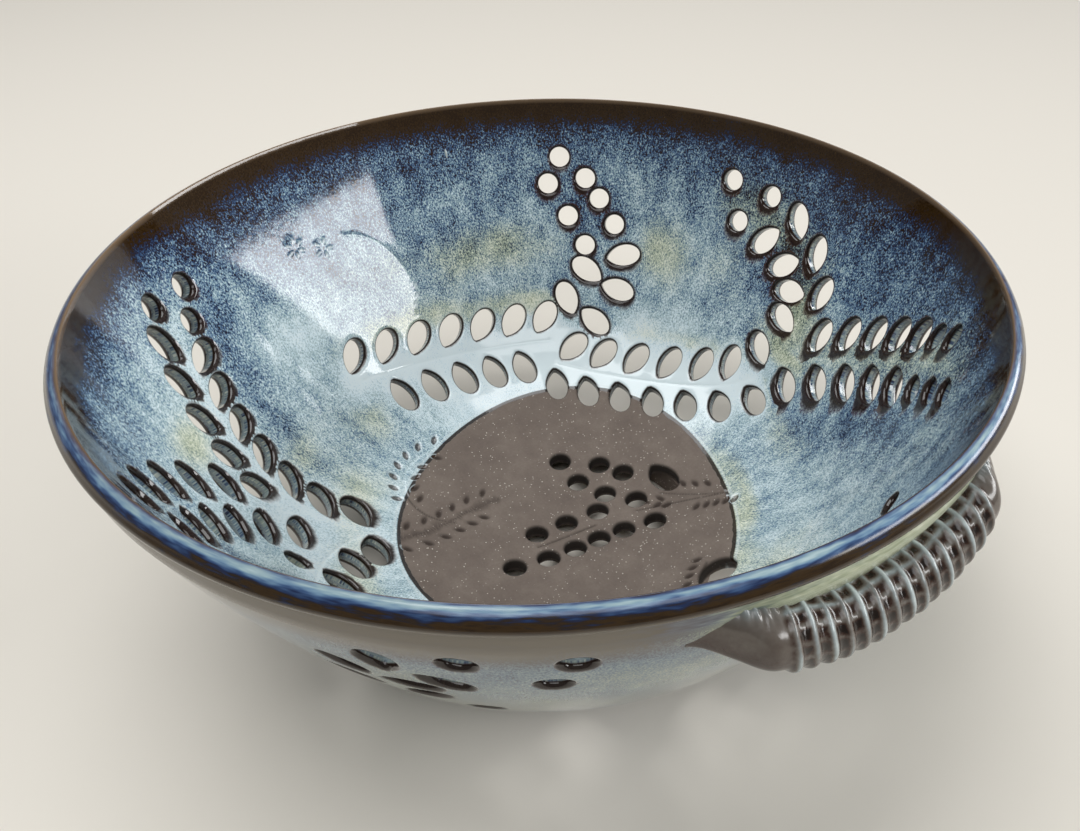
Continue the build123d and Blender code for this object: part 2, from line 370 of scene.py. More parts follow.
# %% Dents
sprig_leaf_length, sprig_leaf_width = 4.8, 2.5
stamped_flowers = ((200.3, 32, 6), (195.2, 36, 5))
flower_radius, flower_turn, petal_scale = 2.5, 0.4, 0.62
arc_dents = ((180, 59.8), (180.3, 63.4), (181.4, 66.4))
arc_dent_heading, arc_dent_scale = 1.2, 0.8
dent_ovals = ((0.5, 8), (1.0, 14), (1.4, 14))

sprig_marks = np.concatenate([frond_holes(frond, False) for frond in floor_sprigs])
sprig_azimuth, sprig_depth = floor_to_wall(sprig_marks[:, 1], sprig_marks[:, 2])
sprig_heading = sprig_marks[:, 3] - sprig_azimuth - np.pi / 2
petals = np.concatenate([
    np.stack([np.radians(azimuth) + flower_radius * np.cos(turn) / inside_curve(depth)[0],
              depth + flower_radius * np.sin(turn), turn, np.full(count, petal_scale)], -1)
    for azimuth, depth, count in stamped_flowers for turn in [full_turn(count) + flower_turn]])
arc_marks = [(math.radians(azimuth), depth, arc_dent_heading, arc_dent_scale) for azimuth, depth in arc_dents]
dents = np.concatenate([
    np.stack([sprig_azimuth, sprig_depth, sprig_heading, np.ones(len(sprig_marks))], -1), petals, arc_marks])


def dent_local(azimuth, depth):
    """Place of points from the nearest dent's middle, along and across it, as shares of its half sizes."""
    points = bowl_surface(azimuth, depth, 0) / MM
    middles = bowl_surface(dents[:, 0], dents[:, 1], 0) / MM
    middle = dents[np.argmin((middles**2).sum(1) - 2 * points @ middles.T, 1)]
    across = (np.mod(azimuth - middle[:, 0] + np.pi, 2 * np.pi) - np.pi) * inside_curve(depth)[0]
    x, y = turned(across, depth - middle[:, 1], -middle[:, 2])
    return x / (middle[:, 3] * sprig_leaf_length / 2), y / (middle[:, 3] * sprig_leaf_width / 2)


def dent_ring(scale, count):
    """Points of an oval round every dent, as azimuth and depth."""
    turn, scale = full_turn(count), scale * dents[:, 3:]
    across, down = turned(scale * sprig_leaf_length / 2 * np.cos(turn),
                          scale * sprig_leaf_width / 2 * np.sin(turn), dents[:, 2:3])
    depth = dents[:, 1:2] + down
    return np.stack([dents[:, :1] + across / inside_curve(depth)[0], depth], -1).reshape(-1, 2)


dent_points = np.concatenate([dents[:, :2]] + [dent_ring(*oval) for oval in dent_ovals])
print(len(dents), "dents")

# %% [markdown]
# ## The net of the wall
# A plain grid can't follow leaf-shaped holes, so the bowl is unrolled flat instead: depth becomes the
# distance from the middle of a disc, and azimuth stays the angle. On the disc, circles of points fill the
# space between the rings, and a triangulation that keeps the outlines as edges joins them. The surface
# itself is still a function of azimuth and depth, worked out for all the points at once.

# %% Points of the net
rim_band, rim_count = 9.5, 360
net_step, least_gap = 2.3, 0.4
ring_clearance, fine_clearance, rim_clearance = 0.85, 0.6, 0.5
grid_clearance, fine_gap = 0.45, 1.1


def to_disc(azimuth, depth):
    """Flat map of the inside: the way left to the middle is the radius."""
    return np.stack([(full_depth - depth) * np.cos(azimuth), (full_depth - depth) * np.sin(azimuth)], -1)


def point_distance(azimuth, depth, marks):
    """Distance in mm from points of the inside to the nearest of some marked points."""
    points = bowl_surface(azimuth, depth, 0) / MM
    return np.concatenate([
        np.sqrt(np.maximum((block**2).sum(1)[:, None] + (marks**2).sum(1) - 2 * block @ marks.T, 0).min(1))
        for block in blocks(points, 2000)])


rim_azimuth = full_turn(rim_count)
parts = [np.stack([edge_azimuth.ravel(), edge_depth.ravel()], -1),
         np.stack([rim_azimuth, np.full(rim_count, rim_band)], -1)]
for step in ring_steps[1:]:
    ring = np.stack(hole_ring(step), -1).reshape(-1, 2)
    parts.append(ring[hole_distance(*ring.T)[0] > ring_clearance * step])
fine = np.concatenate([groove_points, dent_points])
fine = fine[(hole_distance(*fine.T)[0] > fine_clearance) & (fine[:, 1] > rim_band + rim_clearance)]
fine = fine[np.unique(np.round(to_disc(*fine.T) / least_gap), axis=0, return_index=True)[1]]
parts.append(fine)
circle_depths = np.arange(rim_band + net_step, full_depth - net_step, net_step)
circle_counts = np.ceil(2 * np.pi * inside_curve(circle_depths)[0] / net_step).astype(int)
circles = [np.stack([full_turn(count) + number * np.pi / count, np.full(count, depth)], -1)
           for number, (depth, count) in enumerate(zip(circle_depths, circle_counts))]
grid = np.concatenate(circles + [[(0, full_depth)]])
off_holes = hole_distance(*grid.T)[0] > ring_steps[-1] + grid_clearance * net_step
off_marks = point_distance(*grid.T, bowl_surface(*fine.T, 0) / MM) > fine_gap
net = np.concatenate(parts + [grid[off_holes & off_marks]])
print(len(net), "points in the net")

# %% Triangulate the unrolled bowl
edge_index = np.arange(edge_azimuth.size).reshape(edge_azimuth.shape)
rim_index = edge_azimuth.size + np.arange(rim_count)
loops = np.concatenate([np.stack([edge_index, np.roll(edge_index, -1, 1)], -1).reshape(-1, 2),
                        np.stack([rim_index, np.roll(rim_index, -1)], -1)])
disc = to_disc(*net.T)
made = geometry.delaunay_2d_cdt([Vector(point) for point in disc], loops.tolist(), [], 0, 1e-5)
triangles = np.array(made[2])
assert len(made[0]) == len(net), "the triangulation merged or added points"
# A triangle with all its corners on one hole's edge lies in that hole
hole_of = np.where(triangles < edge_azimuth.size, triangles // outline_points, -1 - np.arange(3))
triangles = triangles[(hole_of != hole_of[:, :1]).any(1)]
a, b, c = (disc[triangles[:, corner]] for corner in range(3))
left_turn = ((b - a)[:, 0] * (c - a)[:, 1] - (b - a)[:, 1] * (c - a)[:, 0]) > 0
triangles = np.where(left_turn[:, None], triangles, triangles[:, ::-1])
print(len(triangles), "triangles in the net")

# %% [markdown]
# ## Both faces of the wall, the cuts and the rim
# The net is laid twice, once on the inside and once on the outside, and each face rolls over into the holes
# as a quarter round. Short tubes join the two at every hole. A strip turned round the axis closes the top:
# up the last of the inside, over the ridge, down the bevel, round the lip and back in under it.

# %% Rounded cuts and rim
edge_round = 1.1
lip_overhang, lip_drop, lip_radius, lip_turn = 3.7, 4.0, 1.6, 138.0
ridge_round, bevel_bulge = 0.5, 0.9
inner_steps, bend_steps, bevel_steps, lip_steps, under_steps = 8, 6, 8, 9, 5


def smooth_step(x):
    """Rises from 0 to 1 as x does, level at both ends."""
    x = np.clip(x, 0, 1)
    return x * x * (3 - 2 * x)


def bell(x, middle, width, power=2):
    """1 at the middle, falling off on both sides by the width; a power of 4 makes it flat on top."""
    return np.exp(-((x - middle) / width)**power)


def roll_over(distance):
    """How far a face sinks near a cut: a quarter circle of the edge's radius, level beyond it."""
    short = np.clip(edge_round - np.maximum(distance, 0), 0, edge_round)
    return edge_round - np.sqrt(edge_round**2 - short**2)


def rim_profile():
    """Radius and height of the strip over the rim, from the inner face to the outer one, without its ends.

    Straight inside, a Bezier bend over the ridge, a bevel bowed out a little, and the lip's arc; the last run
    drops to the neck.
    """
    inner = np.stack(inside_curve(np.linspace(rim_band, ridge_round, inner_steps)[1:])[:2], -1)
    middle = np.array([rim_radius + lip_overhang - lip_radius, rim_height - lip_drop])
    turn = np.radians(np.linspace(lip_turn - 90, -90, lip_steps))
    lip = middle + lip_radius * np.stack([np.cos(turn), np.sin(turn)], -1)
    ridge = np.array([rim_radius, rim_height])
    bevel_way = (lip[0] - ridge) / np.linalg.norm(lip[0] - ridge)
    bend = on_stem((inner[-1], ridge, ridge + bevel_way * ridge_round), np.linspace(0, 1, bend_steps)[1:])[0]
    bulge = (bend[-1] + lip[0]) / 2 + bevel_bulge * np.array([-bevel_way[1], bevel_way[0]])
    bevel = on_stem((bend[-1], bulge, lip[0]), np.linspace(0, 1, bevel_steps)[1:-1])[0]
    neck_radius, neck_height, neck_slope = inside_curve(rim_band)
    neck = np.array([neck_radius + clay_thickness * np.sin(neck_slope),
                     neck_height - clay_thickness * np.cos(neck_slope)])
    under = lip[-1] + (neck - lip[-1]) * np.linspace(0, 1, under_steps)[1:-1, None]
    return np.concatenate([inner, bend, bevel, lip, under])


profile = rim_profile()
print(len(profile), "rows of points over the rim")

# %% Points of both faces, the cuts and the rim
tube_rings = 3
groove_width, groove_sink, dent_sink = 0.45, 0.25, 0.7
dent_reach, dent_slope = 1.15, 0.8
floor_start, floor_fade = 88, 12
wall_groove_share, wall_dent_share = 0.4, 0.25
press_clearance = 0.3

net_azimuth, net_depth = net.T
net_hole, net_below, nearest_hole = hole_distance(net_azimuth, net_depth)
net_hole[:edge_azimuth.size] = 0
sink = roll_over(net_hole)
groove = bell(point_distance(net_azimuth, net_depth, groove_spine), 0, groove_width)
dent = smooth_step((dent_reach - np.hypot(*dent_local(net_azimuth, net_depth))) / dent_slope)
on_floor = smooth_step((net_depth - floor_start) / floor_fade)


def fainter_on_wall(share):
    """A share on the wall, where glaze fills what was pressed, and 1 on the floor."""
    return share + (1 - share) * on_floor


pressed = (groove_sink * groove * fainter_on_wall(wall_groove_share)
           + dent_sink * dent * fainter_on_wall(wall_dent_share))
inner_face = bowl_surface(net_azimuth, net_depth, sink + pressed * np.clip(net_hole - press_clearance, 0, 1))
outer_face = bowl_surface(net_azimuth, net_depth, clay_thickness - sink)
through = np.linspace(edge_round, clay_thickness - edge_round, tube_rings + 2)[1:-1, None, None]
tubes = bowl_surface(edge_azimuth[None], edge_depth[None], through)
strip = np.stack([profile[:, :1] * np.cos(rim_azimuth), profile[:, :1] * np.sin(rim_azimuth),
                  np.repeat(profile[:, 1:], rim_count, 1)], -1) * MM
print("cuts and rim:", tubes.shape[:3], strip.shape[:2])

# %% Build the pierced bowl
count = len(net)
tube_shape, strip_shape = tubes.shape[:3], strip.shape[:2]
tube_index = 2 * count + np.arange(math.prod(tube_shape)).reshape(tube_shape)
walls = np.concatenate([edge_index[None], tube_index, edge_index[None] + count])
strip_index = tube_index.max() + 1 + np.arange(math.prod(strip_shape)).reshape(strip_shape)
rows = np.concatenate([rim_index[None], strip_index, rim_index[None] + count])


def quads(rings):
    """Four-sided faces between each ring of indices and the next, closed round the last axis."""
    low, high = rings[:-1], rings[1:]
    return np.stack([low, np.roll(low, -1, -1), np.roll(high, -1, -1), high], -1).reshape(-1, 4)


def new_object(name, data):
    """Object of some data, put into the scene."""
    made = bpy.data.objects.new(name, data)
    scene.collection.objects.link(made)
    return made


def new_piece(name, points, faces):
    """Mesh object at the origin from points in metres and faces, its normals facing out and shaded smooth."""
    mesh = bpy.data.meshes.new(name)
    mesh.from_pydata(points.reshape(-1, 3).tolist(), [], faces)
    shell = bmesh.new()
    shell.from_mesh(mesh)
    bmesh.ops.recalc_face_normals(shell, faces=shell.faces)
    shell.to_mesh(mesh)
    shell.free()
    mesh.shade_smooth()
    return new_object(name, mesh)


bowl = new_piece("pierced_bowl",
                 np.concatenate([inner_face, outer_face, tubes.reshape(-1, 3), strip.reshape(-1, 3)]),
                 triangles[:, ::-1].tolist() + (triangles + count).tolist()
                 + quads(walls).tolist() + quads(rows).tolist())
print("bowl:", len(bowl.data.polygons), "faces")

# %% [markdown]
# ## Numbers that ride on the bowl's points
# A potter reads a glaze by where it is: how far down the wall, how near a cut, inside or out. The bowl
# carries the same readings as one number per point, so the materials need no pictures. The flow is where a
# point lies on the wall rolled out, in mm; it keeps the speckle even, and is squeezed on the bevel, where
# glaze draws out into long streaks round the rim.

# %% Readings for every point
ridge_row, ridge_blend = 9, 0.8
flow_radius, outside_shift, bevel_streaks = 95.0, 300, (0.06, 0.06, 0.5)
wall_dent_tone = 0.12
far_from_holes = 9.0


def on_all(inner, outer, cut, rim):
    """One number per point of the bowl from those of its inner face, outer face, cuts and rim."""
    shapes = (inner, count), (outer, count), (cut, tube_shape), (rim, strip_shape)
    return np.concatenate([np.broadcast_to(numbers, shape).ravel() for numbers, shape in shapes])


def add_values(piece, **values):
    """Stores one number or one vector per point under each name, for the materials to read."""
    for name, numbers in values.items():
        numbers = np.asarray(numbers, np.float32)
        kind, key = ("FLOAT_VECTOR", "vector") if numbers.ndim == 2 else ("FLOAT", "value")
        piece.data.attributes.new(name, kind, "POINT").data.foreach_set(key, numbers.ravel())


past_ridge = (run_along(profile) - run_along(profile)[ridge_row])[:, None]
azimuths = on_all(net_azimuth, net_azimuth, edge_azimuth, rim_azimuth)
depths = on_all(net_depth, net_depth, edge_depth, np.abs(past_ridge))
sides = on_all(0, 1, through / clay_thickness, np.clip(0.5 + past_ridge / ridge_blend, 0, 1))
hole_mm = on_all(net_hole, net_hole, 0, far_from_holes)
below = on_all(net_below, net_below, 0, 0)
in_tube = on_all(False, False, True, False)
on_strip = on_all(False, False, False, True)
on_bevel = on_all(False, False, False, np.arange(len(profile))[:, None] >= ridge_row)
flow = np.stack([flow_radius * np.cos(azimuths), flow_radius * np.sin(azimuths),
                 depths + outside_shift * np.round(sides)], -1)
flow = np.where(on_bevel[:, None], flow * bevel_streaks, flow)
add_values(bowl, flow=flow, groove=on_all(groove, 0, 0, 0),
           dent=on_all(dent * fainter_on_wall(wall_dent_tone), 0, 0, 0))
print(len(azimuths), "points, of which", on_bevel.sum(), "on the bevel and lip")

# %% [markdown]
# ## The lug handles
# Each handle is a roll of clay that was run over a grooved board, so it is ringed with close ribs, then
# pressed on the wall and its ends smoothed down. Here it is a circle carried along an arc round the bowl:
# the ribs and the taper of the tails are only changes of the circle's radius and place. The slow sines keep
# the ribs, bars and beads as uneven as a hand leaves them.

# %% The surface of a handle
roll_radius, roll_drop, roll_reach = 7.2, 22.0, 2.0
rib_rise, rib_width, rib_count, ribbed_span, handle_span = 0.9, 0.27, 17, 30.0, 44.0
ribbed_end, ribbed_fade = 13.0, 1.2
bar_count, bar_rise, bar_width, least_bar = 14, 0.4, 0.24, 0.4
rib_wobble, bar_wobble, top_turn, top_width = 0.08, 0.15, 1.7, 0.7
taper_start, tail_depth, tail_half_height, tail_sink = 14.5, 2.3, 4.4, 3.2
bow_start, bow_span, bow_lift = 4.0, 20.0, 8.5
thumb_hollow = 0.30
bead_height, bead_turn, bead_width, bead_angle, bead_length = 1.3, 1.6, 0.38, 16.4, 2.0
bar_pale, bead_pale = 0.8, 0.3
along_count, around_count = 480, 112


def lug_surface(middle):
    """Points of a handle, how pale it is painted there as lit crests, how bare of ribs it is, and the turn
    round the roll.

    The circle's centre runs round the axis and lifts towards both ends, where the circle flattens against the
    wall by one smooth step. A rib is a bell-shaped bump in the radius at every pitch along the roll, and a
    lower bar is the same round the circle, so that pits are left between them. A tail is pressed hollow by a
    thumb, and its upper edge is squeezed up in a lumpy bead.
    """
    angle = np.linspace(-1, 1, along_count)[:, None] * handle_span / 2
    turn = full_turn(around_count)[None]
    tail = smooth_step((np.abs(angle) - taper_start) / (handle_span / 2 - taper_start))
    pitches = (angle + ribbed_span / 2) / ribbed_span * (rib_count - 1)
    pitches = pitches + rib_wobble * np.sin(3 * turn + middle)
    bars = turn * bar_count / (2 * np.pi) + bar_wobble * np.sin(angle * 0.7 + middle)
    ribbed = 1 - smooth_step((np.abs(angle) - ribbed_end) / ribbed_fade)
    strength = (0.9 + 0.14 * np.sin(2.4 * np.round(pitches) + 2 * turn)) * ribbed
    ring = bell(pitches, np.round(pitches), rib_width) * strength
    near_top = bell(turn, top_turn, top_width)
    bar = bell(bars, np.round(bars), bar_width) * (least_bar + (1 - least_bar) * near_top) * ribbed
    hollow = thumb_hollow * smooth_step(3 * tail) * (1 - ribbed) * np.clip(np.cos(turn + 0.15), 0, 1)**2
    lumps = 1 + 0.5 * np.sin(4.2 * angle + 1) * np.sin(2.3 * angle)
    bead = bead_height * lumps * np.exp(-((turn - bead_turn) / bead_width)**2
                                        - ((np.abs(angle) - bead_angle) / bead_length)**2)
    swell = rib_rise * np.maximum(ring, bar_rise * bar) + bead
    out = roll_radius - (roll_radius - tail_depth) * tail
    up = roll_radius - (roll_radius - tail_half_height) * tail
    radius = rim_radius + roll_reach - tail_sink * tail + (out * (1 - hollow) + swell) * np.cos(turn)
    lift = bow_lift * smooth_step((np.abs(angle) - bow_start) / bow_span)
    height = rim_height - roll_drop + lift + (up + swell) * np.sin(turn)
    azimuth = np.radians(angle) + middle
    points = np.stack([radius * np.cos(azimuth), radius * np.sin(azimuth), height], -1) * MM
    # Painted highlight: the crests of ribs and bars and the bead are made paler
    pale = np.maximum(ring**2, bar_pale * bar) + bead_pale * bead
    return points, *(np.broadcast_to(value, radius.shape) for value in (pale, 1 - ribbed, turn))


# %% Build the handles
handles = []
for name, middle in (("handle_right", 0.0), ("handle_left", math.pi)):
    points, rib, bald, turn = lug_surface(middle)
    index = np.arange(points[..., 0].size).reshape(points.shape[:2])
    faces = quads(index).tolist() + [index[0].tolist(), index[-1].tolist()]
    lug = new_piece("lug_" + name, points, faces)
    add_values(lug, rib=rib.ravel(), tail=bald.ravel(), upward=np.sin(turn).ravel())
    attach(lug, "root")
    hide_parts(name)
    handles.append(lug)
print("handles:", [len(lug.data.polygons) for lug in handles], "faces")

# %% [markdown]
# ## Where the glaze is thick and thin
# On the real pot one glaze gives every colour: where it runs thin over an edge it breaks to brown, a little
# thicker it is navy, and where it pools it turns milky blue and cream. So the bowl carries one number per
# point for the glaze's thickness and one for its cream haze. Both are smooth sums of a few wide pools and
# of the distance to the stems, and the material adds all the fine speckle.

# %% Pools of glaze
Pool = namedtuple("Pool", "azimuth depth wide tall amount")
milky_pools = [Pool(*row) for row in (
    (176, 110, 20, 9, 0.22), (150, 96, 26, 9, 0.20), (112, 98, 24, 9, 0.20), (208, 70, 12, 14, 0.12),
    (246, 92, 14, 14, 0.14), (238, 40, 20, 28, 0.16), (80, 66, 14, 9, 0.08), (128, 52, 12, 26, 0.06),
    (95, 46, 7, 15, -0.26), (66, 40, 20, 20, -0.08), (141, 42, 4, 14, -0.22), (193, 45, 14, 16, -0.06),
    (209, 56, 8, 10, 0.26), (118, 50, 9, 16, 0.10), (120, 82, 16, 7, 0.16), (40, 92, 14, 12, 0.06),
    (223, 34, 5, 12, -0.20), (227, 52, 5, 12, -0.24), (228, 72, 5, 12, -0.22), (230, 90, 5, 8, -0.16),
    (50, 58, 7, 8, -0.25), (58, 71, 7, 6, -0.22), (68, 86, 8, 5, -0.20), (200, 112, 10, 8, -0.04))]
cream_pools = [Pool(*row) for row in (
    (164, 52, 16, 10, 0.65), (123, 52, 6, 16, 0.80), (188, 72, 14, 8, 0.60), (156, 76, 16, 6, 0.65),
    (112, 84, 20, 5, 0.40), (210, 92, 12, 16, 0.50), (262, 104, 26, 9, 0.60), (60, 112, 16, 2.5, 0.4),
    (228, 104, 10, 10, 0.45), (12, 98, 26, 14, 0.60), (318, 100, 30, 14, 0.40), (88, 60, 7, 14, 0.30),
    (68, 92, 14, 8, 0.40), (196, 46, 9, 10, 0.30), (108, 58, 7, 16, 0.30), (248, 47, 7, 10, 0.75),
    (231, 84, 6, 8, 0.45))]
print(len(milky_pools), "milky and thin places,", len(cream_pools), "creamy ones")

# %% Glaze on the inside
stem_overrun, stem_marks = 0.04, 60


def turned_from(azimuth, middle):
    """Degrees from one azimuth to others, the short way round."""
    return (np.degrees(azimuth) - middle + 180) % 360 - 180


def around(middle, wide, power=2):
    """A bell over the bowl's azimuth, in degrees."""
    return bell(turned_from(azimuths, middle), 0, wide, power)


def pooled(pools):
    """Sum of soft oval pools: each falls off as a bell from its middle, by its own width and height."""
    return sum(pool.amount * np.exp(-(turned_from(azimuths, pool.azimuth) / pool.wide)**2
                                    - ((depths - pool.depth) / pool.tall)**2) for pool in pools)


def stem_distance(fronds):
    """Distance in mm from every point of the bowl to the nearest of some stems, run on at the ends."""
    shares = np.linspace(-stem_overrun, 1 + stem_overrun, stem_marks)
    stems = np.concatenate([on_stem(frond.stem, shares)[0] for frond in fronds])
    return point_distance(azimuths, depths, bowl_surface(np.radians(stems[:, 0]), stems[:, 1], 0) / MM)


band_depth = [0, 4, 7.5, 10.5, 16, 24, 36, 55, 80, 105, 135]
band_glaze = [0.03, 0.06, 0.15, 0.26, 0.34, 0.47, 0.58, 0.63, 0.70, 0.76, 0.80]
# Where the dark band under the rim reaches further down, or less far: azimuth, width and amount
band_start, band_waves = 9, ((80, 26, 0.6), (205, 26, 0.2), (140, 24, -0.25), (250, 26, -0.5))
vine_glaze, branch_glaze, vine_width, branch_width, right_width = 0.33, 0.05, 7, 5, 11
vine_cream, right_cream, halo_cream = -0.9, 0.5, 0.7
halo_mm, halo_width, halo_reach = 4.5, 3.0, 17

band_stretch = sum((amount * around(middle, wide) for middle, wide, amount in band_waves), 1)
band = np.where(depths > band_start, band_start + (depths - band_start) / band_stretch, depths)
vine_mm, right_mm, branch_mm = (stem_distance(wall_fronds[some])
                                for some in (slice(0, 2), slice(3, 5), slice(4, 8)))
inside_glaze = np.interp(band, band_depth, band_glaze) + pooled(milky_pools)
inside_glaze += vine_glaze * bell(vine_mm, 0, vine_width) + branch_glaze * bell(branch_mm, 0, branch_width)
# Glaze that ran down gathers as a pale halo over the vine's holes
halo = bell(hole_mm, halo_mm, halo_width) * np.clip(-below, 0, 1) * bell(vine_mm, 0, halo_reach, 4)
inside_cream = (pooled(cream_pools) + right_cream * bell(right_mm, 0, right_width) + halo_cream * halo
                + vine_cream * bell(vine_mm, 0, vine_width))
print(f"inside: glaze {inside_glaze.min():.2f} to {inside_glaze.max():.2f}")

# %% [markdown]
# ## Where it breaks to rust
# The coat can't hold on a sharp edge, so it thins to rust round each cut, most of all under it, where it
# has run away downwards. How wide it breaks differs from frond to frond. It could be painted by hand; a
# distance to the nearest hole, divided by that width, does it for all the holes alike.

# %% Rust, dark outlines and painted shade at the cuts
# For each frond: mm of rust round a cut, how much more under it, and how much glaze gathers beside it
frond_rust = [0.50, 0.55, 1.15, 0.95, 0.80, 0.70, 0.70, 0.70, 0.60, 0.60]
frond_run = [0.3, 0.5, 1.6, 2.2, 4.5, 2.2, 1.4, 1.4, 0.6, 0.6]
frond_pool = [0.16, 0.20, -0.16, -0.02, 0.06, 0.03, 0.03, 0.03, 0.05, 0.05]
pool_width, glazed_cut = 3.2, 2.2
dark_through, dark_share = [1.1, 1.9, 2.8, 4.4], [1.0, 0.30, 0.10, 0.2]
# The first number darkens each cut's upper wall, partly dark glaze and partly painted shade; then the cuts'
# dark outlines
upper_glaze_and_shade, inner_soot_mm, outer_soot_mm, outer_soot = 0.85, 0.45, 0.7, 0.5
frond_sizes = [len(frond_holes(frond, True)) for frond in wall_fronds]


def of_holes(per_frond, tips, floor):
    """One number per hole from one per frond, with one for the lone berries and one for the floor's holes."""
    return np.concatenate([np.repeat(per_frond, frond_sizes), np.full(len(tip_berries), tips),
                           np.full(len(floor_holes), floor)])


edge_hole = np.arange(len(edge_azimuth))[:, None]
in_wall = edge_hole < len(wall_holes)
hole_number = on_all(nearest_hole, nearest_hole, edge_hole, 0)
hole_rust, hole_run, hole_pool = (of_holes(*numbers)[hole_number] for numbers in (
    (frond_rust, 0.9, 0.05), (frond_run, 1.0, 0.0), (frond_pool, -0.08, 0.0)))
inside_glaze += hole_pool * bell(hole_mm, 0, pool_width)
rust_mm = hole_mm / (hole_rust + hole_run * np.clip(below, 0, 1)**2)
rust_mm = np.where(on_all(False, False, in_wall, False), glazed_cut, rust_mm)
# Painted shade, partly dark glaze: the upper wall inside each cut, which faces down, is darkened
upper_side = edge_depth.mean(1, keepdims=True) - edge_depth
upper_side = np.clip(upper_side / upper_side.max(1, keepdims=True), 0, 1)
cut_dark = np.maximum(np.interp(through, dark_through, dark_share), upper_glaze_and_shade * upper_side)
# Dark outlines round the cuts, and painted shade: the floor's holes are painted near black all through
in_cut = on_all(np.clip(1 - net_hole / inner_soot_mm, 0, 1),
                outer_soot * np.clip(1 - net_hole / outer_soot_mm, 0, 1), np.where(in_wall, cut_dark, 1.0), 0)
print(f"rust reaches {hole_rust.min():.2f} to {(hole_rust + hole_run).max():.1f} mm from a cut")

# %% [markdown]
# ## The outside, the rim and the bare patch
# Outside, the coat is thin and dusty with ash under the lip and turns creamy further down; over each handle
# a pale run has gathered. The ridge carries a tan line, a painted highlight, left out at the front, where a
# pale streak is painted along the bevel as a highlight. The floor was waxed before dipping, so a round patch
# with a wavy edge stays bare.

# %% Glaze on the outside
outside_depth = [0, 0.5, 1.2, 2.2, 3.0, 3.6, 4.3, 5.2, 8, 12, 16, 22, 34, 60, 100, 135]
outside_glaze = [0.12, 0.28, 0.40, 0.34, 0.25, 0.18, 0.14, 0.10, 0.10, 0.22, 0.42, 0.58,
                 0.62, 0.58, 0.52, 0.45]
side_middle, side_blend = 0.35, 0.3
front_azimuth, front_width = 335, 62
# A pale streak painted along the front of the bevel as a highlight: its glaze, depth and width
front_highlight_glaze, front_highlight_depth, front_highlight_width = 0.34, 0.8, 0.9
lug_run_glaze, lug_run_cream, lug_run_wide, lug_run_depth, lug_run_tall = 0.80, 1.3, 44, 11.5, 5
low_cream, low_start, low_fade = 0.35, 18, 14
belly_cream, belly_depth, belly_tall = 0.25, 62, 16
thin_ash, lip_ash, ash_start, ash_rise, ash_end, ash_fade = 0.3, 0.55, 4.6, 1.2, 12, 10
bevel_end, bevel_fade = 5, 1.5
ridge_width, front_ridge = 0.8, 0.85

on_outside = np.clip((sides - side_middle) / side_blend, 0, 1)
front = around(front_azimuth, front_width, 4)
# Twice the azimuth is 0 at both handles
by_lug = bell(turned_from(2 * azimuths, 0), 0, lug_run_wide, 4)
by_lug = by_lug * bell(depths, lug_run_depth, lug_run_tall, 4) * on_outside
outside_run = np.interp(depths, outside_depth, outside_glaze)
# Painted highlight: the glaze is made paler in a streak along the front of the bevel, just under the ridge
outside_run += front_highlight_glaze * front * bell(depths, front_highlight_depth, front_highlight_width)
outside_run = outside_run * (1 - by_lug) + lug_run_glaze * by_lug
outside_cream = (lug_run_cream * by_lug + low_cream * smooth_step((depths - low_start) / low_fade)
                 + belly_cream * bell(depths, belly_depth, belly_tall))
bevel = on_bevel * (1 - smooth_step((depths - bevel_end) / bevel_fade))
# Painted highlight: a tan line along the ridge, left out at the front
ridge = on_strip * bell(depths, 0, ridge_width) * (1 - front_ridge * front)
under_lip = smooth_step((depths - ash_start) / ash_rise) * (1 - smooth_step((depths - ash_end) / ash_fade))
ash = on_outside * (thin_ash + lip_ash * under_lip) * (1 - by_lug) * (1 - bevel)
print(f"outside: glaze {outside_run.min():.2f} to {outside_run.max():.2f}")

# %% Bare patch
# The patch's edge as waves of one, two and three to the turn; under the floor it is a plain circle
bare_middle, bare_waves, under_bare = 56.7, ((-1.0, 2.3), (1.6, -2.3), (1.2, 1.1)), 53.5
patch_cream, patch_cream_width, patch_cream_side = 0.65, 8, (52, 44, 4)
patch_edge = bare_middle + sum(a * np.cos(k * azimuths) + b * np.sin(k * azimuths)
                               for k, (a, b) in enumerate(bare_waves, 1))
patch_mm = inside_curve(depths)[0] - np.where(on_outside < 0.5, patch_edge, under_bare)
past_patch = np.clip(patch_mm, 0, None)
inside_cream += patch_cream * around(*patch_cream_side) * bell(past_patch, 0, patch_cream_width)
print(f"bare patch {patch_edge.min():.1f} to {patch_edge.max():.1f} mm from the axis")

# %% Inside and outside joined
speckle_glaze, speckle_grain, outside_calm = [0.05, 0.16, 0.28, 0.65, 0.95], [0.4, 0.7, 1.3, 1.3, 0.75], 0.55
cut_glaze, cut_cream, cut_grain, bevel_grain = 0.58, 0.35, 1.0, 0.45
glaze = inside_glaze * (1 - on_outside) + outside_run * on_outside
cream = inside_cream * (1 - on_outside) + outside_cream * on_outside
# Speckle is strongest in the middle of the range, and fainter outside and on the bevel
grain = np.interp(glaze, speckle_glaze, speckle_grain) * (1 - outside_calm * on_outside)
grain = grain * (1 - bevel) + bevel_grain * bevel
glaze, cream, grain = (np.where(in_tube, cut, value) for cut, value in
                       ((cut_glaze, glaze), (cut_cream, cream), (cut_grain, grain)))
add_values(bowl, glaze=glaze, cream=cream, grain=grain, ash=ash, rust_mm=rust_mm, in_cut=in_cut, ridge=ridge,
           bevel=bevel, patch_mm=patch_mm)
print(f"glaze thickness {glaze.min():.2f} to {glaze.max():.2f}")

# %% [markdown]
# ## Adding nodes
# A material is a net of nodes. One function adds a node with its settings, its links or fixed values and a
# ramp's stops, and hands back the output to go on with; colours are written as on a screen and made linear.


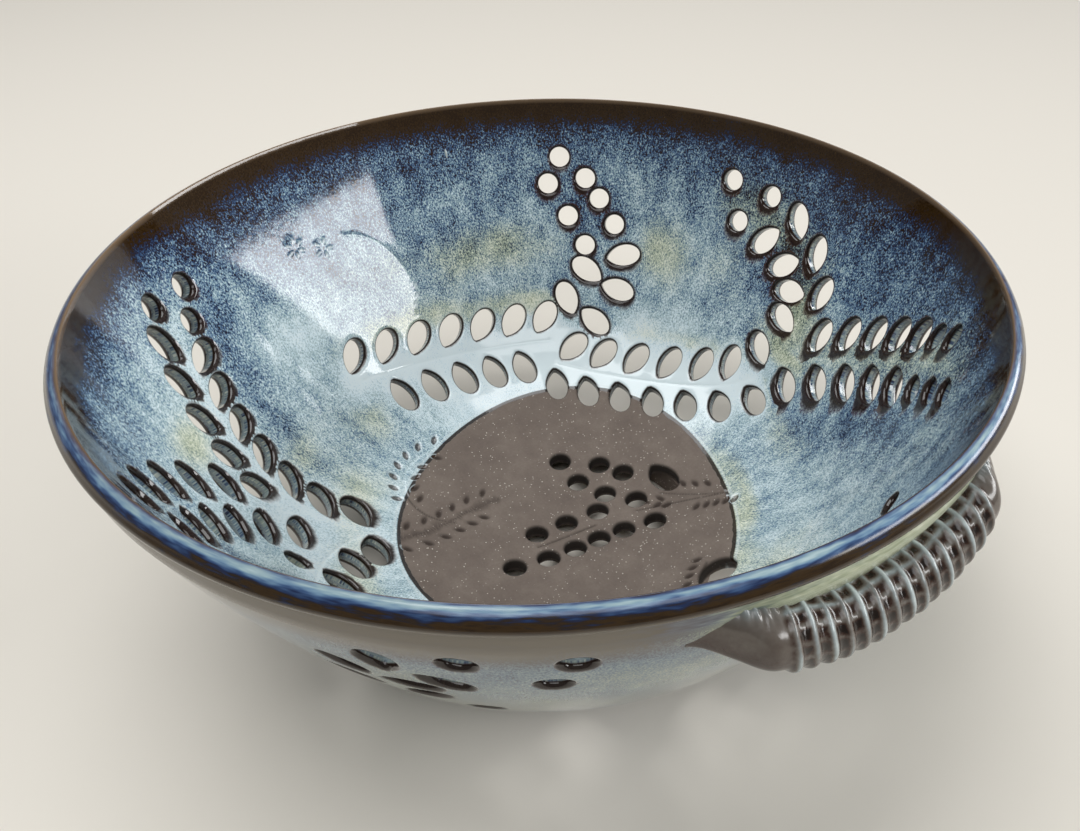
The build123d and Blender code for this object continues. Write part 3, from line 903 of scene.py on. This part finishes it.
# %% A node, a colour and a material
def linear(code):
    """Linear colour of an sRGB hex code."""
    srgb = np.array([int(code[i:i + 2], 16) for i in (1, 3, 5)]) / 255
    return (*np.where(srgb <= 0.04045, srgb / 12.92, ((srgb + 0.055) / 1.055)**2.4).tolist(), 1.0)


def node(tree, kind, sockets=(), out=0, stops=(), **settings):
    """Adds a shader node and gives one of its outputs; sockets are in order, or by name or number."""
    made = tree.nodes.new("ShaderNode" + kind)
    for key, value in settings.items():
        setattr(made, key, value)
    for socket, value in sockets.items() if isinstance(sockets, dict) else enumerate(sockets):
        if isinstance(value, bpy.types.NodeSocket):
            tree.links.new(value, made.inputs[socket])
        else:
            made.inputs[socket].default_value = value
    for number, (spot, code) in enumerate(stops):
        stop = made.color_ramp.elements[number] if number < 2 else made.color_ramp.elements.new(spot)
        stop.position, stop.color = spot, linear(code)
    return made.outputs[out]


def new_material(name):
    """Empty material with its node tree and shader."""
    material = bpy.data.materials.new(name)
    material.use_nodes = True
    return material, material.node_tree, material.node_tree.nodes["Principled BSDF"]


def place_in_mm(tree):
    """The piece's own coordinates, in mm."""
    return node(tree, "VectorMath", {0: node(tree, "TexCoord", out="Object"), 3: 1 / MM}, operation="SCALE")


# Settings that many nodes share: a product plus a third value, a blend of two colours, and a soft range
times_plus, blend, eased = ({"operation": "MULTIPLY_ADD"}, {"out": 2, "data_type": "RGBA"},
                            {"interpolation_type": "SMOOTHSTEP"})
print("white is", linear("#ffffff"))

# %% [markdown]
# ## Bare clay
# Dark stoneware, thrown and left unglazed: matt, a warm grey-brown that is mottled by the fire, with white
# grains of grog. It shows on the foot and on the patch of the floor. The grog could be many small stones; a
# cell pattern in which some cells show a dot looks the same at this size.

# %% Unglazed stoneware
clay_mottle_mm, clay_grain_mm = 12, 0.7
# Real grog is 0.1 to 0.3 mm, too fine to show, so its cells are 0.9 mm and the largest dots near 0.45 mm
grog_mm = 0.9
clay_roughness = 0.82


def clay_colour(tree, place):
    """Colour and height of bare clay: soft mottling and fine grain, with dots of grog."""
    mottle = node(tree, "TexNoise",
                  {"Vector": place, "Scale": 1 / clay_mottle_mm, "Detail": 4.0, "Roughness": 0.65})
    grain = node(tree, "TexNoise", {"Vector": place, "Scale": 1 / clay_grain_mm, "Detail": 2.0})
    ground = node(tree, "ValToRGB", (node(tree, "Math", (grain, 0.35, mottle), **times_plus),),
                  stops=((0.40, "#645850"), (1.0, "#80746a"), (0.68, "#70645b")))
    cells = node(tree, "TexVoronoi", {"Vector": place, "Scale": 1 / grog_mm})
    pick = node(tree, "SeparateColor", (cells.node.outputs["Color"],))
    size = node(tree, "MapRange", (pick, 0.5, 1.0, 0.0, 0.25))
    dot = node(tree, "Math", (cells, size), operation="LESS_THAN")
    return node(tree, "Mix", {0: dot, 6: ground, 7: linear("#cfc6ba")}, **blend), grain


bare_clay, tree, shader = new_material("unglazed_dark_stoneware")
clay, clay_grain = clay_colour(tree, place_in_mm(tree))
tree.links.new(clay, shader.inputs["Base Color"])
shader.inputs["Roughness"].default_value = clay_roughness
bump = node(tree, "Bump", {"Height": clay_grain, "Strength": 0.3, "Distance": 0.25 * MM})
tree.links.new(bump, shader.inputs["Normal"])
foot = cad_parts["foot_ring"]
foot.data.materials.clear()
foot.data.materials.append(bare_clay)
print(bare_clay.name, "on the foot ring")

# %% [markdown]
# ## The runny blue glaze
# The bowl was dipped, and the coat melted and ran: a glass with fine crystals that is brown where it is
# thin, navy, then milky blue. A colour ramp turns its thickness into colour. Fine noise, stretched down the
# wall, is added to the thickness first, so the speckle is navy where the coat is thin and pale where it is
# thick, as in the kiln.

# %% Glaze: thickness and speckle
glazed, tree, shader = new_material("runny_blue_glaze_on_stoneware")
flow_at = node(tree, "Attribute", out="Vector", attribute_name="flow")
glaze_at, cream_at, grain_at, ash_at, rust_at, outline_and_shade_at, ridge_at, bevel_at, patch_at, groove_at, dent_at = (
    node(tree, "Attribute", out="Fac", attribute_name=name) for name in
    ("glaze", "cream", "grain", "ash", "rust_mm", "in_cut", "ridge", "bevel", "patch_mm", "groove", "dent"))
# Speckle and clumps are drawn out down the wall by about half, as the coat ran; haze is wide soft clouds
speckle_mm, clump_mm, haze_mm = 0.42, 6, 24
drawn_out = node(tree, "VectorMath", (flow_at, (1, 1, 0.62)), operation="MULTIPLY")
speckle, clump, haze = (
    node(tree, "TexNoise", {"Vector": place, "Scale": 1 / mm, "Detail": detail, "Roughness": rough})
    for place, mm, detail, rough in
    ((drawn_out, speckle_mm, 2.0, 0.7), (drawn_out, clump_mm, 4.0, 0.65), (flow_at, haze_mm, 3.0, 0.55)))
mottle = node(tree, "Math", (clump, 0.40, speckle), **times_plus)
mottle = node(tree, "Math", (mottle, 0.70), operation="SUBTRACT")
mottle = node(tree, "Math", (mottle, 1.6), operation="MULTIPLY")
thick = glaze_at
for amount, share in ((mottle, grain_at), (haze, 0.30), (groove_at, 0.12)):
    thick = node(tree, "Math", (amount, share, thick), **times_plus)
thick = node(tree, "Math", (thick, 0.15), operation="SUBTRACT")
print("thickness:", len(tree.nodes), "nodes")

# %% Glaze: colour from thickness
blue = node(tree, "ValToRGB", (thick,), stops=(
    (0.0, "#2a1b0a"), (1.0, "#e0edf0"), (0.12, "#392811"), (0.19, "#29211f"), (0.27, "#1e2e51"),
    (0.40, "#405a80"), (0.53, "#718fa8"), (0.66, "#97b0b7"), (0.80, "#b7cbcd"), (0.90, "#d0e4ee")))
creamy = node(tree, "ValToRGB", (thick,), stops=(
    (0.0, "#2a1b0a"), (1.0, "#e9ebda"), (0.27, "#353a40"), (0.40, "#5d6a62"), (0.53, "#8d9a88"),
    (0.66, "#aab49a"), (0.80, "#c6cdb2"), (0.90, "#dbe0cc")))
milk = cream_at
for clouds in (haze, speckle):
    milk = node(tree, "Math", (clouds, 0.9, milk), **times_plus)
milk = node(tree, "MapRange", (milk, 1.05, 1.75, 0.0, 1.0), **eased)
coat = node(tree, "Mix", {0: milk, 6: blue, 7: creamy}, **blend)
coat = node(tree, "Mix", {0: bevel_at, 6: coat, 7: (0.96, 0.98, 1.0, 1)}, blend_type="MULTIPLY", **blend)
print("coat:", len(tree.nodes), "nodes")

# %% [markdown]
# ## What breaks and covers the coat
# Each is a mask and a colour laid over the last: grey ash outside, rust at the cuts, the tan painted
# highlight on the ridge, the pale roll where the coat ends and the dark line inside it, and the dents, which
# have a pale brim and a brown pit.

# %% Glaze: breaks, dents and the bare patch
worn = node(tree, "Math", (clump, 1.2, rust_at), **times_plus)
worn = node(tree, "MapRange", (worn, 1.1, 2.1, 0.97, 0.0), **eased)
rust = node(tree, "ValToRGB", (worn,), stops=((0.25, "#6b4326"), (0.95, "#26150b"), (0.65, "#452714")))
# The ridge's tan line is a painted highlight
ridge_highlight = node(tree, "Math", (ridge_at, 0.75), operation="MULTIPLY")
from_roll, from_brim = (
    node(tree, "Math", (node(tree, "Math", (reading, middle), operation="SUBTRACT"),), operation="ABSOLUTE")
    for reading, middle in ((patch_at, 1.9), (dent_at, 0.14)))
rolled = node(tree, "MapRange", (from_roll, 0.1, 0.7, 0.45, 0.0), **eased)
coat_end = node(tree, "MapRange", (patch_at, 1.0, 1.4, 0.95, 0.0), **eased)
brim = node(tree, "MapRange", (from_brim, 0.03, 0.12, 0.6, 0.0))
pit = node(tree, "MapRange", (dent_at, 0.27, 0.6, 0.0, 0.8))
for mask, colour in ((ash_at, linear("#7c7569")), (worn, rust), (ridge_highlight, linear("#8a735b")),
                     (rolled, linear("#d9e3e4")), (coat_end, linear("#2a1d16")), (brim, linear("#d9e4e6")),
                     (pit, linear("#3b271a"))):
    coat = node(tree, "Mix", {0: mask, 6: coat, 7: colour}, **blend)
clay, clay_grain = clay_colour(tree, place_in_mm(tree))
# Grooves and dents in the bare clay are coloured darker inside
hollow = node(tree, "Math", (groove_at, 0.75, dent_at), use_clamp=True, **times_plus)
clay = node(tree, "Mix", {0: hollow, 6: clay, 7: linear("#33271f")}, **blend)
wander = node(tree, "Math", (clump, 1.6, patch_at), **times_plus)
bare = node(tree, "MapRange", (wander, 0.72, 0.88, 1.0, 0.0))
# Near black over the cuts' dark outlines and their painted shade
dark_outline_and_shade = node(tree, "Math", (outline_and_shade_at, 0.88), operation="MULTIPLY")
colour = node(tree, "Mix", {0: bare, 6: coat, 7: clay}, **blend)
colour = node(tree, "Mix", {0: dark_outline_and_shade, 6: colour, 7: linear("#1d120a")}, **blend)
tree.links.new(colour, shader.inputs["Base Color"])
print("colour:", len(tree.nodes), "nodes")

# %% [markdown]
# ## Its gloss
# A melted coat is as smooth as a window pane, so it mirrors the light; a glass of its kind has an IOR near
# 1.52. Only a faint wave of clumps and an orange peel of speckle bend the reflections. The bevel is rubbed
# duller, and the bare clay is matt.

# %% Glaze: gloss and skin
glass_ior = 1.52
gloss = node(tree, "MapRange", (speckle, 0.3, 0.7, 0.03, 0.07))
gloss = node(tree, "Math", (bevel_at, 0.14, gloss), **times_plus)
rough = node(tree, "Mix", {0: bare, 2: gloss, 3: clay_roughness})
tree.links.new(rough, shader.inputs["Roughness"])
shader.inputs["IOR"].default_value = glass_ior
skin = node(tree, "Math", (speckle, 0.10, clump), **times_plus)
skin = node(tree, "Mix", {0: bare, 2: skin, 3: clay_grain})
bump = node(tree, "Bump", {"Height": skin, "Strength": 0.10, "Distance": 0.3 * MM})
tree.links.new(bump, shader.inputs["Normal"])
bowl.data.materials.append(glazed)
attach(bowl, "root")
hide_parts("bowl")
print(glazed.name, "of", len(tree.nodes), "nodes")

# %% [markdown]
# ## The glaze on the handles
# The same glaze over the ribs, with light and shade painted in: pale and grey-blue on their crests, a painted
# highlight where the light catches them, nearly black in the pits, painted shade, lighter on the upward side
# and darker underneath, with plain grey tails. The handle's own readings of rib, tail and upward side are
# added up as its thickness.

# %% Handle glaze
rib_speckle_mm, rib_clump_mm = 1.4, 5
# A glaze with a painted highlight on the crests and painted shade in the pits and underneath
lug_glaze, tree, shader = new_material("glaze_over_ribs_with_painted_light")
rib_at, tail_at, up_at = (node(tree, "Attribute", out="Fac", attribute_name=name)
                          for name in ("rib", "tail", "upward"))
place = place_in_mm(tree)
speckle, clump = (node(tree, "TexNoise", {"Vector": place, "Scale": 1 / mm, "Detail": 3.0, "Roughness": 0.6})
                  for mm in (rib_speckle_mm, rib_clump_mm))
mottle = node(tree, "Math", (speckle, 0.5, clump), **times_plus)
unevenness = node(tree, "MapRange", {0: tail_at, 3: 0.75, 4: 0.2})
thick = rib_at
# Painted light: crests paler and pits near black, and the upward side paler than the underside
for amount, share in ((tail_at, 0.74), (mottle, unevenness), (up_at, 0.14)):
    thick = node(tree, "Math", (amount, share, thick), **times_plus)
colour = node(tree, "ValToRGB", (node(tree, "MapRange", (thick, 0.68, 1.80)),), stops=(
    (0.0, "#1b110b"), (1.0, "#c3cfd0"), (0.13, "#3a2820"), (0.26, "#5c544d"), (0.40, "#716d68"),
    (0.62, "#8b9394"), (0.80, "#a9b4b5")))
tree.links.new(colour, shader.inputs["Base Color"])
shader.inputs["Roughness"].default_value = 0.18
shader.inputs["IOR"].default_value = glass_ior
for lug in handles:
    lug.data.materials.append(lug_glaze)
print(lug_glaze.name, "on", len(handles), "handles")

# %% [markdown]
# ## The camera
# The picture was taken from close by and above, with the bowl off its middle. The rim is a circle, so the
# shape of its ellipse gave the distance, height and turns of the eye, and the holes gave how far round the
# bowl is turned. A shift moves the bowl off the middle without tilting the view.

# %% Camera
photo_turn = Matrix.Rotation(math.radians(58), 3, "Z")
eye_distance, eye_height = 228.8, 127.1
eye_yaw, eye_pitch, eye_roll = math.radians(7.164), math.radians(38.457), math.radians(1.640)
focal_px, centre_px, frame_px, sensor_mm = 950.0, 655.0, 1080.0, 36.0
eye = photo_turn @ Vector((0, -eye_distance, 0)) + Vector((0, 0, rim_height + eye_height))
ahead = Vector((math.sin(eye_yaw) * math.cos(eye_pitch), math.cos(eye_yaw) * math.cos(eye_pitch),
                -math.sin(eye_pitch)))
level = Vector((math.cos(eye_yaw), -math.sin(eye_yaw), 0))
upright = level.cross(ahead)
right = level * math.cos(eye_roll) + upright * math.sin(eye_roll)
above = upright * math.cos(eye_roll) - level * math.sin(eye_roll)
camera = new_object("camera", bpy.data.cameras.new("camera"))
camera.matrix_world = (Matrix.Translation(eye * MM)
                       @ (photo_turn @ Matrix((right, above, -ahead)).transposed()).to_4x4())
camera.data.sensor_width = sensor_mm
camera.data.lens = focal_px / frame_px * sensor_mm
camera.data.shift_x = (frame_px / 2 - centre_px) / frame_px
camera.data.clip_start = 0.01
scene.camera = camera
print(f"camera {eye.length:.0f} mm from the foot, lens {camera.data.lens:.1f} mm")

# %% [markdown]
# ## Floor and light
# A wide low window at the side gives the bright slanted patch inside the bowl, a weak lamp over the front
# lights the rim, where a pale streak is also painted into the glaze as a highlight, and a soft one overhead
# fills the bowl. The floor is plain matt paper, wide enough to run out of sight.

# %% Stage and light
floor_half = 8


def soft_box(name, azimuth, elevation, distance, width, height, power, lean=0):
    """Area lamp that faces the bowl from an azimuth and elevation, leaning about its own axis."""
    a, e = math.radians(azimuth), math.radians(elevation)
    way = Vector((math.cos(a) * math.cos(e), math.sin(a) * math.cos(e), math.sin(e)))
    lamp = bpy.data.lights.new(name, "AREA")
    lamp.shape, lamp.size, lamp.size_y, lamp.energy = "RECTANGLE", width, height, power
    stand = Matrix.Translation(Vector((0, 0, rim_height * MM)) + way * distance)
    facing = way.to_track_quat("Z", "Y").to_matrix().to_4x4()
    new_object(name, lamp).matrix_world = stand @ facing @ Matrix.Rotation(math.radians(lean), 4, "Z")


# Degrees, then metres, then watts
soft_box("side_window", 56.4, 16.6, 2.5, 3.03, 0.48, 44, lean=-12.7)
soft_box("over_the_front", -30, 55, 1.6, 1.5, 0.55, 7)
soft_box("overhead", 190, 74, 1.3, 1.0, 1.0, 13)
floor_mesh = bpy.data.meshes.new("floor")
floor_corners = [(x * floor_half, y * floor_half, 0) for x, y in ((-1, -1), (1, -1), (1, 1), (-1, 1))]
floor_mesh.from_pydata(floor_corners, [], [(0, 1, 2, 3)])
floor = new_object("floor", floor_mesh)
paper, _, shader = new_material("matt_paper")
shader.inputs["Base Color"].default_value = linear("#e6e1d7")
shader.inputs["Roughness"].default_value = 0.9
floor_mesh.materials.append(paper)
world = bpy.data.worlds.new("studio")
world.use_nodes = True
world.node_tree.nodes["Background"].inputs["Color"].default_value = (0.86, 0.86, 0.86, 1)
world.node_tree.nodes["Background"].inputs["Strength"].default_value = 0.20
scene.world = world
scene.view_settings.view_transform = "Standard"
print(len(bpy.data.lights), "lamps")
